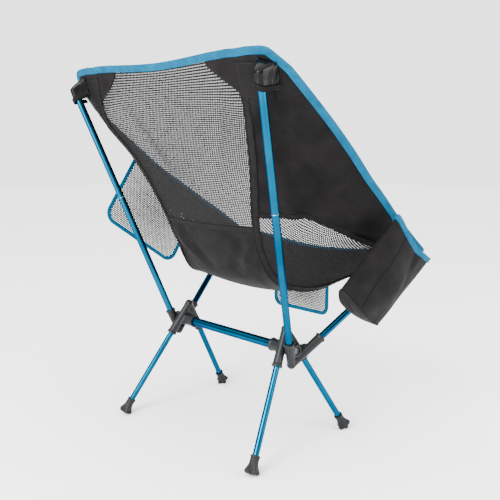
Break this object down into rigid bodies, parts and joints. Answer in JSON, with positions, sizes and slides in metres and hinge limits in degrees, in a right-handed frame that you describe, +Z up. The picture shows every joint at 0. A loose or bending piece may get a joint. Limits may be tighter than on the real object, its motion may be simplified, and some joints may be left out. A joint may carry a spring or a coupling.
{
  "type": "backpacking chair",
  "caption": "Low folding-pole camp chair: blue tube frame with plug-in legs, mesh and cloth sling hung on four pole tips, a bottle pocket on one edge and a flat mesh pocket on the other.",
  "frame": {"origin": "middle of the bounding box in plan, on the ground plane", "axes": "+Z up; -Y is the way the sitter faces; +X is the sitter's left"},
  "size_m": [0.5716, 0.4426, 0.6541],
  "materials": {
    "blue_anodised": "satin anodised",
    "ferrule_aluminium": "satin",
    "steel_pin": "brushed",
    "hub_plastic": "satin moulded",
    "foot_rubber": "matt",
    "black_oxford": "plain weave",
    "mesh_cloth": "open knitted mesh",
    "blue_binding": "ribbed tape",
    "black_webbing": "ribbed tape",
    "shock_cord": "braided cover"
  },
  "bodies": {
    "frame": {"crossbar": "blue_anodised", "crossbar_cord": "shock_cord", "hub_seat_bracket_left": "hub_plastic", "hub_leg_bracket_left": "hub_plastic", "hub_pivot_pin_left": "steel_pin", "leg_cord_rear_left": "shock_cord", "leg_cord_front_left": "shock_cord", "back_pole_lower_left": "blue_anodised", "back_pole_upper_left": "blue_anodised", "back_pole_ferrule_left": "ferrule_aluminium", "back_pole_end_cap_left": "hub_plastic", "back_pole_cord_left": "shock_cord", "front_pole_left": "blue_anodised", "front_pole_end_cap_left": "hub_plastic", "front_pole_cord_left": "shock_cord", "hub_seat_bracket_right": "hub_plastic", "hub_leg_bracket_right": "hub_plastic", "hub_pivot_pin_right": "steel_pin", "leg_cord_rear_right": "shock_cord", "leg_cord_front_right": "shock_cord", "back_pole_lower_right": "blue_anodised", "back_pole_upper_right": "blue_anodised", "back_pole_ferrule_right": "ferrule_aluminium", "back_pole_end_cap_right": "hub_plastic", "back_pole_cord_right": "shock_cord", "front_pole_right": "blue_anodised", "front_pole_end_cap_right": "hub_plastic", "front_pole_cord_right": "shock_cord", "top_binding": "blue_binding", "back_mesh_panel": "mesh_cloth", "side_binding_right": "blue_binding", "side_panel_right": "black_oxford", "seam_strip_right": "black_webbing", "seam_strip_left": "black_webbing", "side_panel_left": "black_oxford", "side_binding_left": "blue_binding", "lower_side_mesh_right": "mesh_cloth", "seat_panel": "black_oxford", "lower_side_mesh_left": "mesh_cloth", "front_binding": "blue_binding", "bottle_pocket_inner": "black_oxford", "bottle_pocket_outer": "black_oxford", "mesh_side_pocket": "mesh_cloth", "under_seat_mesh_pocket": "mesh_cloth"},
    "leg_rear_left": {"leg_rear_left": "blue_anodised", "foot_rear_left": "foot_rubber"},
    "leg_front_left": {"leg_front_left": "blue_anodised", "foot_front_left": "foot_rubber"},
    "corner_back_left": {"pole_pocket_back_left": "black_webbing", "corner_patch_back_left": "black_oxford"},
    "corner_front_left": {"pole_pocket_front_left": "black_webbing", "corner_patch_front_left": "black_oxford"},
    "leg_rear_right": {"leg_rear_right": "blue_anodised", "foot_rear_right": "foot_rubber"},
    "leg_front_right": {"leg_front_right": "blue_anodised", "foot_front_right": "foot_rubber"},
    "corner_back_right": {"pole_pocket_back_right": "black_webbing", "corner_patch_back_right": "black_oxford"},
    "corner_front_right": {"pole_pocket_front_right": "black_webbing", "corner_patch_front_right": "black_oxford"}
  },
  "joints": [
    {"name": "rear_leg_pull_left", "type": "slide", "parent": "frame", "child": "leg_rear_left", "axis": [0.1868, 0.5279, -0.8285], "range_m": [0, 0.03], "stiffness_N_per_m": 60, "springref_m": -0.05},
    {"name": "front_leg_pull_left", "type": "slide", "parent": "frame", "child": "leg_front_left", "axis": [0.155, -0.5146, -0.8433], "range_m": [0, 0.03], "stiffness_N_per_m": 60, "springref_m": -0.05},
    {"name": "back_corner_release_left", "type": "slide", "parent": "frame", "child": "corner_back_left", "axis": [0.1688, 0.3276, 0.9296], "range_m": [0, 0.03], "stiffness_N_per_m": 900, "springref_m": -0.015},
    {"name": "front_corner_release_left", "type": "slide", "parent": "frame", "child": "corner_front_left", "axis": [0.258, -0.7758, 0.5757], "range_m": [0, 0.03], "stiffness_N_per_m": 900, "springref_m": -0.015},
    {"name": "rear_leg_pull_right", "type": "slide", "parent": "frame", "child": "leg_rear_right", "axis": [-0.1868, 0.5279, -0.8285], "range_m": [0, 0.03], "stiffness_N_per_m": 60, "springref_m": -0.05},
    {"name": "front_leg_pull_right", "type": "slide", "parent": "frame", "child": "leg_front_right", "axis": [-0.155, -0.5146, -0.8433], "range_m": [0, 0.03], "stiffness_N_per_m": 60, "springref_m": -0.05},
    {"name": "back_corner_release_right", "type": "slide", "parent": "frame", "child": "corner_back_right", "axis": [-0.1688, 0.3276, 0.9296], "range_m": [0, 0.03], "stiffness_N_per_m": 900, "springref_m": -0.015},
    {"name": "front_corner_release_right", "type": "slide", "parent": "frame", "child": "corner_front_right", "axis": [-0.258, -0.7758, 0.5757], "range_m": [0, 0.03], "stiffness_N_per_m": 900, "springref_m": -0.015}
  ]
}
